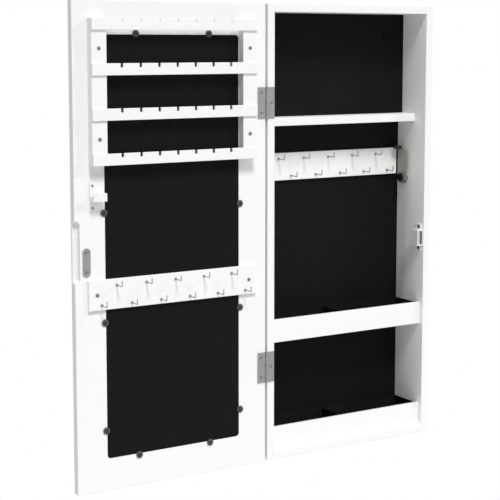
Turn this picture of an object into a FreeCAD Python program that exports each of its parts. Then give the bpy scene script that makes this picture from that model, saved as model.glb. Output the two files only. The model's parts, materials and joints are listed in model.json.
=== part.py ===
import FreeCAD, Part
import math
import os
import re

import Sketcher
from FreeCAD import Placement, Rotation, Vector

# A wall cabinet for jewelry whose whole front is a mirror door.
# The door stands open by half a turn, beside the box, with its inner face level with the box's front.
# +X is to the right, -Y to the front and +Z up. The wall is the plane y = 0.
# The origin is on the wall, midway between the two holes for the hanging screws.

doc = FreeCAD.newDocument("jewelry_mirror_cabinet")

# ------------------------------------------------------------------ driving dimensions, in millimetres

SIZES = (
    # the box
    ("cabinet_width", 300, "outside width of the box and of the door"),
    ("cabinet_height", 670, "outside height of the box and of the door"),
    ("cabinet_depth", 73, "depth of the box without its door"),
    ("panel_thickness", 12, "top, bottom and side panels"),
    ("back_thickness", 3, "back panel"),
    ("rebate_width", 5, "how far the back panel reaches into each panel"),
    ("lining_thickness", 1.6, "black lining board of the lower compartments"),
    ("rail_height", 60, "hanging rail"),
    ("rail_thickness", 10, "hanging rail"),
    ("upper_lining_thickness", 2, "black lining board of the upper compartment"),
    ("upper_compartment_height", 153.5, "clear height above the shelf"),
    ("shelf_thickness", 12, "shelf"),
    ("shelf_setback", 26.5, "shelf front, behind the box front"),
    ("wall_screw_spacing", 200, "between the two holes for the hanging screws"),
    ("wall_screw_hole_radius", 2.75, "holes for the hanging screws"),
    ("dowel_radius", 3, "wooden dowels of the panel joints"),
    ("dowel_length", 20, "wooden dowels of the panel joints"),
    ("dowel_depth", 8, "how far a dowel reaches into a side panel"),
    ("dowel_margin", 16, "outer dowels, from the edges of the end panels"),
    ("fit_clearance", 0.15, "round a loose fit, on each side"),
    # the trays
    ("tray_front_height", 34, "front boards of the trays"),
    ("tray_front_thickness", 6, "front boards of the trays"),
    ("tray_setback", 7.5, "tray fronts, behind the box front"),
    ("tray_floor_thickness", 6, "floor of the middle tray"),
    ("middle_tray_height", 174, "underside of the middle tray, above the box's underside"),
    ("insert_wall", 1.2, "black inserts of the trays"),
    ("insert_drop", 1.4, "insert rim, below the top of the tray front"),
    ("divider_thickness", 2.4, "tray dividers"),
    ("divider_offset", 5, "dividers, left of the middle"),
    # the hook boards and their hooks
    ("hook_board_margin", 6, "ends of a hook board, from the side panels"),
    ("hook_board_height", 41.5, "hook boards"),
    ("hook_board_thickness", 4.4, "hook boards"),
    ("cabinet_hooks_drop", 64.2, "middle of the box's hook board, below the shelf"),
    ("door_hooks_drop", 60, "middle of the door's hook board, below the middle of the door"),
    ("outer_hook_margin", 19, "outer hooks of the lower row, from the ends of a hook board"),
    ("upper_hook_rise", 12, "upper row, above the middle of the board"),
    ("lower_hook_drop", 14.3, "lower row, below the middle of the board"),
    ("hook_wire_radius", 0.8, "wire of a hook"),
    ("hook_reach", 16.6, "hook, from the board to the middle of its riser"),
    ("hook_height", 8, "hook, from the middle of its stem to its tip"),
    ("hook_bend", 2, "bend radius of a hook"),
    ("hook_flange_radius", 2.2, "collar at the foot of a hook"),
    ("hook_flange_thickness", 1, "collar at the foot of a hook"),
    ("hook_screw_inset", 12.5, "board screws, from the ends of a hook board"),
    ("cabinet_board_screw", 8, "length of the screws of the box's hook board, from behind"),
    ("door_board_screw", 12, "length of the screws of the door's hook board"),
    # the door
    ("door_thickness", 12, "door frame"),
    ("frame_width", 45, "door frame round the mirror"),
    ("mirror_lip", 6, "frame in front of the mirror's rim"),
    ("mirror_thickness", 4, "mirror glass"),
    ("backing_thickness", 3, "black board behind the mirror"),
    ("backing_corner", 5, "corner radius of the mirror's seat"),
    ("glass_clearance", 0.4, "round the mirror and its backing board"),
    ("finger_pull_length", 84, "scoop in the free edge of the door"),
    ("finger_pull_width", 7.5, "scoop in the free edge of the door"),
    ("finger_pull_depth", 8, "scoop in the free edge of the door"),
    ("finger_pull_corner", 6, "rounded ends of the scoop"),
    ("disc_radius", 5, "discs that hold the backing board"),
    ("disc_thickness", 1.5, "discs that hold the backing board"),
    ("disc_offset", 1.6, "disc middle, outside the edge of the backing board"),
    ("disc_spread", 113, "between the two discs above and below the mirror"),
    ("side_disc_drop", 99.5, "middle disc of each side, below the middle of the door"),
    ("side_disc_pitch", 150.5, "from side disc to side disc"),
    # the notched rack on the door
    ("rack_margin", 22.2, "ends of the rack, from the edges of the door"),
    ("rack_drop", 23, "top of the rack, below the top of the door"),
    ("rack_bar_pitch", 60, "from bar to bar"),
    ("rack_bar_height", 16, "bars of the rack"),
    ("rack_bar_thickness", 2.5, "bars of the rack"),
    ("rack_stand", 15, "bar fronts, off the door"),
    ("upright_width", 22.3, "uprights of the rack"),
    ("outer_notch_margin", 21.2, "outer notches, from the uprights"),
    ("notch_width", 4, "notches"),
    ("notch_depth", 5.5, "notches"),
    ("rack_screw_low", 35, "lower rack screws, above the rack's underside"),
    ("rack_screw_spacing", 120.5, "between the rack screws of an upright"),
    ("rack_screw_length", 20.5, "whole length of a rack screw"),
    # the hinges
    ("hinge_height", 45, "butt hinges"),
    ("hinge_margin", 119, "hinge ends, from the top and the bottom of the box"),
    ("hinge_gap", 3.6, "between the box and the open door"),
    ("leaf_thickness", 1, "hinge leaves"),
    ("leaf_gap", 0.4, "between the leaves of the closed hinge"),
    ("cabinet_leaf_width", 11, "leaf on the box, from the edge of the box"),
    ("door_leaf_width", 13.4, "leaf on the door, from the edge of the door"),
    ("cabinet_screw_inset", 6, "screw of the leaf on the box, from the edge of the box"),
    ("door_screw_inset", 7.2, "screws of the leaf on the door, from the edge of the door"),
    ("hinge_screw_spacing", 29.4, "between the two screws of the leaf on the door"),
    ("knuckle_radius", 1.9, "hinge knuckles"),
    ("knuckle_gap", 0.15, "between two knuckles"),
    ("plate_clearance", 0.3, "between the plate of a leaf and the other leaf's knuckles"),
    ("tongue_overlap", 2, "tongue of a knuckle, under the plate of its leaf"),
    ("pin_radius", 0.9, "hinge pins"),
    ("running_clearance", 0.05, "round a shaft that turns"),
    ("seat_clearance", 0.02, "round a shaft that stays put"),
    # countersunk screws
    ("screw_head_radius", 3, "head of a countersunk screw"),
    ("screw_head_height", 1.6, "head of a countersunk screw"),
    ("screw_shank_radius", 1.3, "shank of a screw"),
    ("screw_length", 10, "whole length of a screw"),
    ("pan_head_radius", 2.4, "head of a disc screw"),
    ("pan_head_height", 1.2, "head of a disc screw"),
    # magnetic catch and its plate
    ("catch_width", 11, "catch, out from the side panel"),
    ("catch_depth", 15.6, "catch, front to back"),
    ("catch_height", 25.2, "catch"),
    ("catch_setback", 1.2, "catch front, behind the box front"),
    ("catch_drop", 23.6, "middle of the catch, below the middle of the box"),
    ("catch_wall", 2, "catch housing"),
    ("catch_ear_height", 8, "ears of the catch"),
    ("catch_ear_thickness", 2, "ears of the catch"),
    ("catch_ear_setback", 4, "ears, behind the front of the catch"),
    ("pole_thickness", 1, "steel plates beside the magnet"),
    ("pole_reach", 2.2, "steel plates, in front of the catch housing"),
    ("strike_width", 11.3, "steel plate on the door"),
    ("strike_height", 39, "steel plate on the door"),
    ("strike_thickness", 1.2, "steel plate on the door"),
    ("strike_inset", 17, "middle of the plate, from the free edge of the door"),
    ("strike_drop", 14.6, "middle of the plate, below the middle of the door"),
    ("strike_screw_spacing", 27, "between the screws of the plate"),
    # the lock in the right side panel and its keeper on the door
    ("lock_stand", 22, "lock axis, in front of the wall"),
    ("lock_drop", 267, "lock axis, below the top of the box"),
    ("barrel_radius", 6, "lock barrel"),
    ("barrel_reach", 3.9, "lock barrel, inside the side panel"),
    ("barrel_flange_radius", 9, "lock face on the outside"),
    ("barrel_flange_thickness", 2, "lock face on the outside"),
    ("plug_radius", 4, "lock plug"),
    ("keyway_width", 1.4, "slot for the key"),
    ("keyway_height", 6, "slot for the key"),
    ("keyway_depth", 12, "slot for the key"),
    ("nut_across_flats", 17, "lock nut"),
    ("nut_thickness", 3, "lock nut"),
    ("washer_radius", 9.5, "lock washer"),
    ("washer_thickness", 0.8, "lock washer"),
    ("cam_gap", 0.3, "between the barrel and the cam"),
    ("cam_thickness", 2, "cam bar"),
    ("cam_width", 19, "cam bar"),
    ("cam_tip_setback", 1.5, "tip of the cam bar behind the box front, when it points there"),
    ("cam_tip_width", 11, "cam bar at its tip"),
    ("cam_shoulder", 9, "slanted part of the cam bar below its tip"),
    ("cam_square", 5, "square tail of the plug"),
    ("cam_hook_length", 10.5, "hook block, out from the cam bar"),
    ("cam_hook_width", 8, "hook block, across the cam bar"),
    ("cam_hook_height", 5, "hook block, along the cam bar"),
    ("cam_screw_radius", 6, "head of the cam screw"),
    ("cam_screw_height", 3, "head of the cam screw"),
    ("cam_screw_shank", 1.5, "shank of the cam screw"),
    ("cam_screw_depth", 5.5, "cam screw, into the plug"),
    ("keeper_inset", 22.4, "keeper, from the free edge of the door"),
    ("keeper_plate_width", 8, "plate of the keeper"),
    ("keeper_plate_height", 39, "plate of the keeper"),
    ("keeper_plate_thickness", 2, "plate of the keeper"),
    ("keeper_drop", 261.3, "middle of the keeper, below the top of the door"),
    ("keeper_arm_width", 20, "arm of the keeper"),
    ("keeper_arm_height", 11, "arm of the keeper"),
    ("keeper_arm_reach", 14, "arm of the keeper, off the door"),
    ("keeper_lip", 2.4, "arm beyond its groove"),
    ("keeper_groove_width", 8.2, "groove for the cam's hook"),
    ("keeper_groove_depth", 4.8, "groove for the cam's hook"),
    ("keeper_groove_length", 8, "groove for the cam's hook"),
    ("keeper_screw_spacing", 30, "between the screws of the keeper"),
    ("keeper_screw_head_radius", 1.9, "head of a keeper screw"),
)

# Counts of what repeats.
UPPER_HOOKS = 5
LOWER_HOOKS = 6
RACK_BARS = 4
NOTCHES = 7
SIDE_DISCS = 3
KNUCKLES = 5

sheet = doc.addObject("Spreadsheet::Sheet", "Sizes")
for row, (alias, value, what) in enumerate(SIZES, start=1):
    sheet.set(f"A{row}", what)
    sheet.set(f"B{row}", str(value))
    sheet.setAlias(f"B{row}", alias)
doc.recompute()

# ------------------------------------------------------------------ planes and lines worked out from them

PLACES = {
    "left": "-cabinet_width / 2",
    "right": "cabinet_width / 2",
    "inner_left": "left + panel_thickness",
    "inner_right": "right - panel_thickness",
    "inner_width": "cabinet_width - 2 * panel_thickness",
    "front": "-cabinet_depth",
    "top": "panel_thickness + rail_height / 2",
    "bottom": "top - cabinet_height",
    "middle": "top - cabinet_height / 2",
    "floor": "bottom + panel_thickness",
    "ceiling": "top - panel_thickness",
    "back_face": "-back_thickness",
    "lining_face": "back_face - lining_thickness",
    "upper_face": "back_face - rail_thickness - upper_lining_thickness",
    "shelf_top": "ceiling - upper_compartment_height",
    "shelf_bottom": "shelf_top - shelf_thickness",
    "shelf_front": "front + shelf_setback",
    "tray_front": "front + tray_setback",
    "tray_inside": "tray_front + tray_front_thickness",
    "middle_tray": "bottom + middle_tray_height",
    "hook_board_length": "inner_width - 2 * hook_board_margin",
    "hook_pitch": f"(hook_board_length - 2 * outer_hook_margin) / {LOWER_HOOKS - 1}",
    "hinge_edge": "left - hinge_gap",
    "free_edge": "hinge_edge - cabinet_width",
    "closed_gap": "2 * leaf_thickness + leaf_gap",
    "axis_x": "left - hinge_gap / 2",
    "axis_y": "front - closed_gap / 2",
    "door_back": "front + door_thickness",
    "seat_depth": "mirror_thickness + backing_thickness",
    "mirror_left": "free_edge + frame_width",
    "mirror_width": "cabinet_width - 2 * frame_width",
    "mirror_height": "cabinet_height - 2 * frame_width",
    "door_middle": "(hinge_edge + free_edge) / 2",
    "rack_left": "free_edge + rack_margin",
    "rack_length": "cabinet_width - 2 * rack_margin",
    "rack_height": f"{RACK_BARS - 1} * rack_bar_pitch + rack_bar_height",
    "rack_bottom": "top - rack_drop - rack_height",
    "upright_thickness": "rack_stand - rack_bar_thickness",
    "rack_face": "front - upright_thickness",
    "notch_pitch": f"(rack_length - 2 * (upright_width + outer_notch_margin)) / {NOTCHES - 1}",
    "barrel_end": "inner_right - barrel_reach",
    "cam_near": "barrel_end - cam_gap",
    "cam_far": "cam_near - cam_thickness",
    "lock_y": "-lock_stand",
    "cam_length": "lock_y - front - cam_tip_setback",
    "lock_z": "top - lock_drop",
    "catch_y": "front + catch_setback",
    "catch_z": "middle - catch_drop",
    "strike_x": "free_edge + strike_inset",
    "strike_z": "middle - strike_drop",
    "keeper_x": "free_edge + keeper_inset",
    "keeper_z": "top - keeper_drop",
    "keeper_face": "front - keeper_plate_thickness",
}
ALIASES = {alias for alias, value, what in SIZES}


def formula(text):
    """Writes out a formula of named sizes and places as an expression of the sheet's cells."""
    def meaning(match):
        word = match.group(0)
        if word in PLACES:
            return f"({formula(PLACES[word])})"
        return f"Sizes.{word}" if word in ALIASES else word
    return re.sub(r"[a-z][a-z_]*", meaning, str(text))


def number(text):
    """The present value of a formula, where a sketch needs a first guess or a check needs a number."""
    return float(sheet.evalExpression(formula(text)))


def bind(thing, **formulas):
    """Ties properties of an object to formulas; x, y and z are the object's place."""
    for name, text in formulas.items():
        path = f"Placement.Base.{name}" if name in ("x", "y", "z") else name
        thing.setExpression(path, formula(text))
    return thing


# ------------------------------------------------------------------ building blocks

UP = Vector(0, 0, 1)
AXES = {"x": Vector(1, 0, 0), "-x": Vector(-1, 0, 0), "y": Vector(0, 1, 0), "-y": Vector(0, -1, 0), "z": UP}


def box(name, low, size):
    """A board or block, from its low corner and its size along X, Y and Z."""
    thing = doc.addObject("Part::Box", name)
    return bind(thing, x=low[0], y=low[1], z=low[2], Length=size[0], Width=size[1], Height=size[2])


def rod(name, start, axis, radius, length):
    """A round bar from the middle of its first end, along the named axis."""
    thing = doc.addObject("Part::Cylinder", name)
    thing.Placement = Placement(Vector(), Rotation(UP, AXES[axis]))
    return bind(thing, x=start[0], y=start[1], z=start[2], Radius=radius, Height=length)


def cone(name, start, axis, first_radius, second_radius, length):
    """A cone from the middle of its first end, along the named axis."""
    thing = doc.addObject("Part::Cone", name)
    thing.Placement = Placement(Vector(), Rotation(UP, AXES[axis]))
    return bind(thing, x=start[0], y=start[1], z=start[2],
                Radius1=first_radius, Radius2=second_radius, Height=length)


def fuse(name, pieces):
    thing = doc.addObject("Part::MultiFuse", name)
    thing.Shapes = pieces
    return thing


def cut(name, base, tools):
    """Takes the tools away from the base."""
    thing = doc.addObject("Part::Cut", name)
    thing.Base = base
    thing.Tool = tools[0] if len(tools) == 1 else fuse(name + "_tools", tools)
    return thing


def group(name, pieces):
    """Separate solids of one kind, kept apart in one node."""
    thing = doc.addObject("Part::Compound", name)
    thing.Links = pieces
    return thing


NODES = []


def node(label, thing):
    """Makes an object a sub-part: its label is the name of the node and of its file."""
    thing.Label = label
    NODES.append(thing)
    return thing


def origin_feature(body, role):
    return next(feature for feature in body.Origin.OriginFeatures if feature.Role == role)


def new_body(name, **place):
    body = doc.addObject("PartDesign::Body", name)
    body.AllowCompound = True
    return bind(body, **place)


def new_sketch(body, name, plane):
    sketch = body.newObject("Sketcher::SketchObject", name)
    sketch.AttachmentSupport = (origin_feature(body, plane), [""])
    sketch.MapMode = "FlatFace"
    return sketch


def dimension(sketch, kind, first, second, text):
    """A distance along one axis from one point of the sketch to another, tied to a formula."""
    index = sketch.addConstraint(Sketcher.Constraint(kind, *first, *second, number(text)))
    sketch.setExpression(f"Constraints[{index}]", formula(text))


def rounded_rectangle(sketch, left, low, width, height, radius):
    """A rectangle with round corners, all its places and sizes tied to formulas."""
    x0, y0, r = number(left), number(low), number(radius)
    x1, y1 = x0 + number(width), y0 + number(height)
    centres = [(x0 + r, y0 + r), (x1 - r, y0 + r), (x1 - r, y1 - r), (x0 + r, y1 - r)]
    first = sketch.GeometryCount
    for corner, (x, y) in enumerate(centres):
        circle = Part.Circle(Vector(x, y, 0), UP, r)
        start = math.pi * (1 + corner / 2)
        sketch.addGeometry(Part.ArcOfCircle(circle, start, start + math.pi / 2), False)
    for side in range(4):
        start = sketch.Geometry[first + side].EndPoint
        end = sketch.Geometry[first + (side + 1) % 4].StartPoint
        sketch.addGeometry(Part.LineSegment(start, end), False)
    for side in range(4):
        line, arc, next_arc = first + 4 + side, first + side, first + (side + 1) % 4
        sketch.addConstraint(Sketcher.Constraint("Tangent", arc, 2, line, 1))
        sketch.addConstraint(Sketcher.Constraint("Tangent", line, 2, next_arc, 1))
        sketch.addConstraint(Sketcher.Constraint("Vertical" if side % 2 else "Horizontal", line))
        if side:
            sketch.addConstraint(Sketcher.Constraint("Equal", first, first + side))
    index = sketch.addConstraint(Sketcher.Constraint("Radius", first, number(radius)))
    sketch.setExpression(f"Constraints[{index}]", formula(radius))
    origin, low_corner, high_corner = (-1, 1), (first, 3), (first + 2, 3)
    dimension(sketch, "DistanceX", origin, low_corner, f"{left} + {radius}")
    dimension(sketch, "DistanceY", origin, low_corner, f"{low} + {radius}")
    dimension(sketch, "DistanceX", low_corner, high_corner, f"{width} - 2 * {radius}")
    dimension(sketch, "DistanceY", low_corner, high_corner, f"{height} - 2 * {radius}")


def outline(sketch, points):
    """A closed outline of straight sides; each point is a pair of formulas from the sketch's origin."""
    places = [Vector(number(x), number(y), 0) for x, y in points]
    count = len(places)
    first = sketch.GeometryCount
    for side in range(count):
        sketch.addGeometry(Part.LineSegment(places[side], places[(side + 1) % count]), False)
    for side in range(count):
        following = first + (side + 1) % count
        sketch.addConstraint(Sketcher.Constraint("Coincident", first + side, 2, following, 1))
    for side, (x, y) in enumerate(points):
        dimension(sketch, "DistanceX", (-1, 1), (first + side, 1), x)
        dimension(sketch, "DistanceY", (-1, 1), (first + side, 1), y)


def pad(body, sketch, length, name="Pad", backwards=False):
    feature = body.newObject("PartDesign::Pad", name)
    feature.Profile = sketch
    feature.Reversed = backwards
    return bind(feature, Length=length)


def pocket(body, sketch, name, length=None):
    """Cuts a sketch's outline into the body, to a depth or right through."""
    feature = body.newObject("PartDesign::Pocket", name)
    feature.Profile = sketch
    if length is None:
        feature.Type = "ThroughAll"
        return feature
    return bind(feature, Length=length)


def screw(name, place, axis, grown=0, length="screw_length", head_radius="screw_head_radius"):
    """A countersunk screw whose head is flush at its place; grown makes the hole for it."""
    head = cone(f"{name}_head", place, axis, f"{head_radius} + {grown}",
                f"screw_shank_radius + {grown}", "screw_head_height")
    shank = rod(f"{name}_shank", place, axis, f"screw_shank_radius + {grown}", f"{length} + {grown}")
    return fuse(name, [head, shank])


def screws_and_holes(name, places, axis, length="screw_length", head_radius="screw_head_radius"):
    """The screws as one sub-part, and a list of the holes for them."""
    screws = [screw(f"{name}_{k}", place, axis, 0, length, head_radius)
              for k, place in enumerate(places, start=1)]
    holes = [screw(f"{name}_hole_{k}", place, axis, "seat_clearance", length, head_radius)
             for k, place in enumerate(places, start=1)]
    node(name, group(name + "_group", screws))
    return holes


def spread(count):
    """Steps from the middle of a row, such as -1, 0, 1 for three."""
    return [step - (count - 1) / 2 for step in range(count)]


# ------------------------------------------------------------------ hinges

HINGES = {"upper": "top - hinge_margin - hinge_height", "lower": "bottom + hinge_margin"}
KNUCKLE_HEIGHT = f"(hinge_height / {KNUCKLES})"
TONGUE_REACH = "(hinge_gap / 2 + tongue_overlap)"
PLATE_START = "(knuckle_radius + plate_clearance)"

leaf_face = "front - leaf_thickness"
hinge_middles = [f"{low} + hinge_height / 2" for low in HINGES.values()]
cabinet_leaf_holes = screws_and_holes(
    "hinge_cabinet_screws",
    [("left + cabinet_screw_inset", leaf_face, middle) for middle in hinge_middles], "y")
door_leaf_holes = screws_and_holes(
    "hinge_door_screws",
    [("hinge_edge - door_screw_inset", leaf_face, f"{middle} + {side} * hinge_screw_spacing / 2")
     for middle in hinge_middles for side in (1, -1)], "y")


def hinge_leaf(label, low, plate_x, width, tongue_x, knuckles, bore_clearance, screw_holes):
    """A leaf: its flat plate and its share of the knuckles, each joined to the plate by a tongue."""
    plate_width = f"{width} + hinge_gap / 2 - {PLATE_START}"
    pieces = [box(f"{label}_plate", (plate_x, leaf_face, low),
                  (plate_width, "leaf_thickness", "hinge_height"))]
    height = f"{KNUCKLE_HEIGHT} - knuckle_gap"
    for k in knuckles:
        base = f"{low} + {k} * {KNUCKLE_HEIGHT} + knuckle_gap / 2"
        pieces.append(rod(f"{label}_knuckle_{k}", ("axis_x", "axis_y", base), "z", "knuckle_radius", height))
        pieces.append(box(f"{label}_tongue_{k}", (tongue_x, leaf_face, base),
                          (TONGUE_REACH, "leaf_thickness", height)))
    bore = rod(f"{label}_bore", ("axis_x", "axis_y", low), "z",
               f"pin_radius + {bore_clearance}", "hinge_height")
    node(label, cut(f"{label}_cut", fuse(f"{label}_blank", pieces), [bore] + screw_holes))


for which, low in HINGES.items():
    hinge_leaf(f"hinge_{which}_cabinet_leaf", low, f"axis_x + {PLATE_START}", "cabinet_leaf_width",
               "axis_x", range(0, KNUCKLES, 2), "seat_clearance", cabinet_leaf_holes)
    hinge_leaf(f"hinge_{which}_door_leaf", low, "hinge_edge - door_leaf_width", "door_leaf_width",
               f"axis_x - {TONGUE_REACH}", range(1, KNUCKLES, 2), "running_clearance", door_leaf_holes)
    node(f"hinge_{which}_pin",
         rod(f"{which}_pin", ("axis_x", "axis_y", low), "z", "pin_radius", "hinge_height"))

# ------------------------------------------------------------------ the lock and its cam

lock_axis = ("right + barrel_flange_thickness", "lock_y", "lock_z")
flange = rod("barrel_flange", lock_axis, "-x", "barrel_flange_radius", "barrel_flange_thickness")
barrel = rod("barrel_body", lock_axis, "-x", "barrel_radius",
             "barrel_flange_thickness + panel_thickness + barrel_reach")
barrel_bore = rod("barrel_bore", lock_axis, "-x", "plug_radius + running_clearance",
                  "barrel_flange_thickness + panel_thickness + barrel_reach")
node("lock_barrel", cut("lock_barrel_cut", fuse("lock_barrel_blank", [flange, barrel]), [barrel_bore]))

washer = rod("washer_disc", ("inner_right", "lock_y", "lock_z"), "-x", "washer_radius", "washer_thickness")
washer_hole = rod("washer_hole", ("inner_right", "lock_y", "lock_z"), "-x",
                  "barrel_radius + seat_clearance", "washer_thickness")
node("lock_washer", cut("lock_washer_cut", washer, [washer_hole]))

nut = doc.addObject("Part::Prism", "nut_hexagon")
nut.Polygon = 6
nut.Placement = Placement(Vector(), Rotation(UP, AXES["-x"]))
bind(nut, x="inner_right - washer_thickness", y="lock_y", z="lock_z",
     Circumradius="nut_across_flats / sqrt(3)", Height="nut_thickness")
nut_bore = rod("nut_bore", ("inner_right", "lock_y", "lock_z"), "-x", "barrel_radius + seat_clearance",
               "nut_thickness + washer_thickness")
node("lock_nut", cut("lock_nut_cut", nut, [nut_bore]))

plug_length = "barrel_flange_thickness + panel_thickness + barrel_reach + cam_gap"
plug = rod("plug_body", lock_axis, "-x", "plug_radius", plug_length)
tail = box("plug_tail", ("cam_far", "lock_y - cam_square / 2", "lock_z - cam_square / 2"),
           ("cam_thickness", "cam_square", "cam_square"))
keyway = box("keyway", ("right + barrel_flange_thickness - keyway_depth", "lock_y - keyway_width / 2",
                        "lock_z - keyway_height / 2"), ("keyway_depth", "keyway_width", "keyway_height"))
tapping = rod("plug_tapping", ("cam_far", "lock_y", "lock_z"), "x", "cam_screw_shank + seat_clearance",
              "cam_thickness + cam_screw_depth + fit_clearance")
node("lock_plug", cut("lock_plug_cut", fuse("lock_plug_blank", [plug, tail]), [keyway, tapping]))

screw_start = ("cam_far - cam_screw_height", "lock_y", "lock_z")
node("cam_screw", fuse("cam_screw_whole", [
    rod("cam_screw_head", screw_start, "x", "cam_screw_radius", "cam_screw_height"),
    rod("cam_screw_shank", screw_start, "x", "cam_screw_shank",
        "cam_screw_height + cam_thickness + cam_screw_depth")]))

# The cam bar, drawn on its own YZ plane with the lock axis at the origin and the bar pointing up.
cam = new_body("lock_cam_body", x="cam_far", y="lock_y", z="lock_z")
cam_sketch = new_sketch(cam, "cam_outline", "YZ_Plane")
outline(cam_sketch, [
    ("-cam_width / 2", "-cam_width / 4"), ("-cam_width / 4", "-cam_width / 2"),
    ("cam_width / 4", "-cam_width / 2"), ("cam_width / 2", "-cam_width / 4"),
    ("cam_width / 2", "cam_length"), ("cam_width / 2 - cam_tip_width", "cam_length"),
    ("-cam_width / 2", "cam_length - cam_shoulder")])
pad(cam, cam_sketch, "cam_thickness")
cam_hole = new_sketch(cam, "cam_hole", "YZ_Plane")
half_square = "cam_square / 2 + seat_clearance"
outline(cam_hole, [(f"-({half_square})", f"-({half_square})"), (half_square, f"-({half_square})"),
                   (half_square, half_square), (f"-({half_square})", half_square)])
hole = pocket(cam, cam_hole, "square_hole")
hole.Reversed = True
node("lock_cam", cam)

hook_z = "lock_z + cam_length - cam_hook_height"
hook_y = "lock_y + cam_width / 2 - cam_tip_width / 2 - cam_hook_width / 2"
node("cam_hook", box("cam_hook_block", ("cam_far - cam_hook_length", hook_y, hook_z),
                     ("cam_hook_length", "cam_hook_width", "cam_hook_height")))

# ------------------------------------------------------------------ the box

lock_hole = rod("lock_hole", ("right", "lock_y", "lock_z"), "-x", "barrel_radius + fit_clearance",
                "panel_thickness")


def back_rebate(name):
    """The step round the back of the box that the back panel lies in."""
    return box(name, ("inner_left - rebate_width", "back_face", "floor - rebate_width"),
               ("inner_width + 2 * rebate_width", "back_thickness",
                "cabinet_height - 2 * panel_thickness + 2 * rebate_width"))


END_PANELS = {"top": "ceiling", "bottom": "bottom"}
DOWEL_ROWS = ("front + dowel_margin", "back_face - dowel_margin")
SHELF_DOWEL_ROWS = ("shelf_front + dowel_margin / 2", "upper_face - dowel_margin / 2")


def dowels(name, grown=0):
    """Every dowel of the box; grown makes the holes for them."""
    levels = [(f"{low} + panel_thickness / 2", DOWEL_ROWS) for low in END_PANELS.values()]
    levels.append(("shelf_bottom + shelf_thickness / 2", SHELF_DOWEL_ROWS))
    ends = (("left", f"inner_left - dowel_depth - {grown}", "x"),
            ("right", f"inner_right + dowel_depth + {grown}", "-x"))
    return [rod(f"{name}_{side}_{level}_{row}", (start, y, height), axis,
                f"dowel_radius + {grown}", f"dowel_length + 2 * {grown}")
            for side, start, axis in ends
            for level, (height, rows) in enumerate(levels)
            for row, y in enumerate(rows)]


node("dowels", group("dowel_group", dowels("dowel")))

catch_ear_y = "catch_y + catch_ear_setback + (catch_depth - catch_ear_setback) / 2"
catch_screw_z = "catch_height / 2 + catch_ear_height / 2"
catch_holes = screws_and_holes(
    "catch_screws",
    [("inner_right - catch_ear_thickness", catch_ear_y, f"catch_z + {side} * ({catch_screw_z})")
     for side in (1, -1)], "x")

for side, low_x in (("left", "left"), ("right", "inner_right")):
    board = box(f"{side}_board", (low_x, "front", "bottom"),
                ("panel_thickness", "cabinet_depth", "cabinet_height"))
    tools = [back_rebate(f"{side}_rebate")] + dowels(f"{side}_side_hole", "fit_clearance")
    tools += cabinet_leaf_holes if side == "left" else [lock_hole] + catch_holes
    node(f"{side}_side_panel", cut(f"{side}_side_panel_cut", board, tools))

for which, low in END_PANELS.items():
    board = box(f"{which}_board", ("inner_left", "front", low),
                ("inner_width", "cabinet_depth", "panel_thickness"))
    tools = [back_rebate(f"{which}_rebate")] + dowels(f"{which}_end_hole", "fit_clearance")
    node(f"{which}_panel", cut(f"{which}_panel_cut", board, tools))


def wall_screw_holes(name, y, thickness):
    return [rod(f"{name}_{side}", (f"{sign} * wall_screw_spacing / 2", y, 0), "y",
                "wall_screw_hole_radius", thickness) for side, sign in (("left", -1), ("right", 1))]


cabinet_board_z = "shelf_bottom - cabinet_hooks_drop"
door_board_z = "middle - door_hooks_drop"
cabinet_board_face = "lining_face - hook_board_thickness"
cabinet_board_holes = screws_and_holes(
    "cabinet_hook_board_screws",
    [(f"{sign} * (hook_board_length / 2 - hook_screw_inset)", "0", cabinet_board_z)
     for sign in (-1, 1)], "-y", "cabinet_board_screw")

back_edge = "rebate_width - fit_clearance"
back_board = box("back_board", (f"inner_left - ({back_edge})", "back_face", f"floor - ({back_edge})"),
                 (f"inner_width + 2 * ({back_edge})", "back_thickness",
                  f"cabinet_height - 2 * panel_thickness + 2 * ({back_edge})"))
back_screw_holes = wall_screw_holes("back_screw_hole", "back_face", "back_thickness")
node("back_panel", cut("back_panel_cut", back_board, back_screw_holes + cabinet_board_holes))
rail = box("rail_board", ("inner_left", "back_face - rail_thickness", "ceiling - rail_height"),
           ("inner_width", "rail_thickness", "rail_height"))
node("hanging_rail", cut("hanging_rail_cut", rail,
                         wall_screw_holes("rail_screw_hole", "back_face - rail_thickness", "rail_thickness")))
upper_board = box("upper_lining_board", ("inner_left", "upper_face", "shelf_top"),
                  ("inner_width", "upper_lining_thickness", "upper_compartment_height"))
node("upper_lining", cut("upper_lining_cut", upper_board,
                         wall_screw_holes("upper_screw_hole", "upper_face", "upper_lining_thickness")))
lining_board = box("lining_board", ("inner_left", "lining_face", "floor"),
                   ("inner_width", "lining_thickness", "shelf_bottom - (floor)"))
node("back_lining", cut("back_lining_cut", lining_board, cabinet_board_holes))
shelf_board = box("shelf_board", ("inner_left", "shelf_front", "shelf_bottom"),
                  ("inner_width", "back_face - (shelf_front)", "shelf_thickness"))
node("shelf", cut("shelf_cut", shelf_board, dowels("shelf_hole", "fit_clearance")))

# ------------------------------------------------------------------ the trays

insert_height = "tray_front_height - insert_drop"
tray_room = "lining_face - (tray_inside)"


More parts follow.
